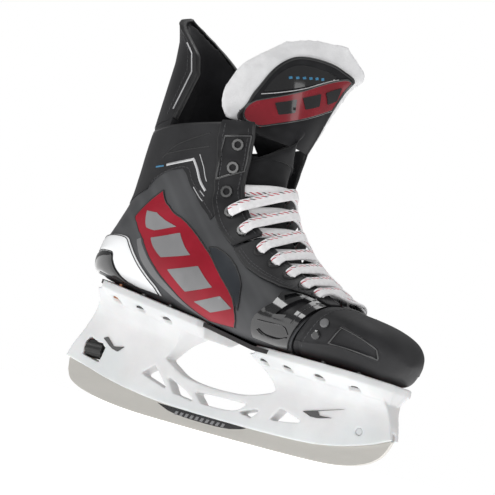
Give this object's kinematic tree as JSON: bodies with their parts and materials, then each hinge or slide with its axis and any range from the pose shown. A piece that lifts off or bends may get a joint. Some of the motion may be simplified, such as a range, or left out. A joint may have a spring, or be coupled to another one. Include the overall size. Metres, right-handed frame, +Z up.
{
  "type": "ice hockey skate",
  "caption": "Right-foot ice hockey skate: laced composite boot, flexing tongue and tendon guard, riveted blade holder, and a quick-release steel runner worked by a thumbwheel.",
  "frame": {"origin": "middle of the flat on the runner's ice edge, in the skate's middle plane", "axes": "+X towards the toe, +Y towards the medial side of this right skate, +Z up from the ice"},
  "size_m": [0.285, 0.1018, 0.2937],
  "materials": {
    "nylon": "satin white glass-filled nylon",
    "runner_steel": "ground and satin-polished stainless steel",
    "wheel_plastic": "ribbed matte plastic",
    "bolt_steel": "plain steel",
    "rivet_metal": "plain steel rivets",
    "copper": "copper washered rivet",
    "eyelet_metal": "dark nickel",
    "sole_composite": "satin composite",
    "composite": "satin charcoal composite laminate",
    "toe_plastic": "moulded matte charcoal",
    "gloss_black": "gloss black moulding",
    "vent_plastic": "grey moulded button",
    "white_gloss": "gloss white moulded band",
    "facing_synthetic": "textured black synthetic facing",
    "tongue_synthetic": "matte black synthetic",
    "felt": "white pressed felt",
    "red_gloss": "gloss red badge",
    "lining": "brushed black microfibre",
    "lace_fabric": "flat woven white lace"
  },
  "bodies": {
    "boot_and_holder": {"holder": "nylon", "front_pin": "bolt_steel", "outsole": "sole_composite", "footbed": "lining", "quarter_shell": "composite", "toe_cap": "toe_plastic", "heel_cup": "gloss_black", "heel_panel": "white_gloss", "tongue_base": "tongue_synthetic", "ankle_liner": "lining", "lace": "lace_fabric", "eyelet_lateral_1": "eyelet_metal", "eyelet_lateral_2": "eyelet_metal", "eyelet_lateral_3": "eyelet_metal", "eyelet_lateral_4": "eyelet_metal", "eyelet_lateral_5": "eyelet_metal", "eyelet_medial_1": "eyelet_metal", "eyelet_medial_2": "eyelet_metal", "eyelet_medial_3": "eyelet_metal", "eyelet_medial_4": "eyelet_metal", "eyelet_medial_5": "eyelet_metal", "rivet_rear_lateral_1": "copper", "rivet_rear_lateral_2": "rivet_metal", "rivet_rear_lateral_3": "rivet_metal", "rivet_rear_medial_1": "copper", "rivet_rear_medial_2": "rivet_metal", "rivet_rear_medial_3": "rivet_metal", "rivet_front_lateral_1": "rivet_metal", "rivet_front_lateral_2": "rivet_metal", "rivet_front_lateral_3": "rivet_metal", "rivet_front_lateral_4": "rivet_metal", "rivet_front_medial_1": "rivet_metal", "rivet_front_medial_2": "rivet_metal", "rivet_front_medial_3": "rivet_metal", "rivet_front_medial_4": "rivet_metal", "vent_front_lateral": "vent_plastic", "vent_front_medial": "vent_plastic", "vent_rear_lateral": "vent_plastic", "vent_rear_medial": "vent_plastic", "facing_upper_lateral": "facing_synthetic", "facing_upper_medial": "facing_synthetic", "facing_lower_lateral": "facing_synthetic", "facing_lower_medial": "facing_synthetic", "side_bracket_lateral": "gloss_black", "side_bracket_medial": "gloss_black"},
    "runner_body": {"runner": "runner_steel"},
    "wheel_body": {"lock_wheel": "wheel_plastic"},
    "hook_body": {"lock_hook": "wheel_plastic"},
    "tongue_top": {"tongue_felt": "felt", "tongue_cover": "tongue_synthetic", "tongue_badge": "red_gloss"},
    "tendon_flap": {"tendon_guard": "composite", "tendon_lining": "lining"}
  },
  "joints": [
    {"name": "runner_release", "type": "hinge", "parent": "boot_and_holder", "child": "runner_body", "pos_m": [0.12, 0, 0.0275], "axis": [0, -1, 0], "range_deg": [0, 5]},
    {"name": "lock_wheel_turn", "type": "hinge", "parent": "boot_and_holder", "child": "wheel_body", "pos_m": [-0.1159, 0, 0.0378], "axis": [1, 0, 0], "range_deg": [0, 720]},
    {"name": "lock_hook_slide", "type": "slide", "parent": "boot_and_holder", "child": "hook_body", "axis": [1, 0, 0], "range_m": [0, 0.003]},
    {"name": "tongue_flex", "type": "hinge", "parent": "boot_and_holder", "child": "tongue_top", "pos_m": [0.002, 0, 0.206], "axis": [0, 1, 0], "range_deg": [-10, 25], "stiffness_Nm_per_rad": 1.2},
    {"name": "tendon_guard_flex", "type": "hinge", "parent": "boot_and_holder", "child": "tendon_flap", "pos_m": [-0.1095, 0, 0.2], "axis": [0, -1, 0], "range_deg": [-4, 18], "stiffness_Nm_per_rad": 1.5}
  ],
  "couplings": [
    {"joint": "lock_hook_slide", "follows": "lock_wheel_turn", "m_per_rad": 0.0002387}
  ]
}
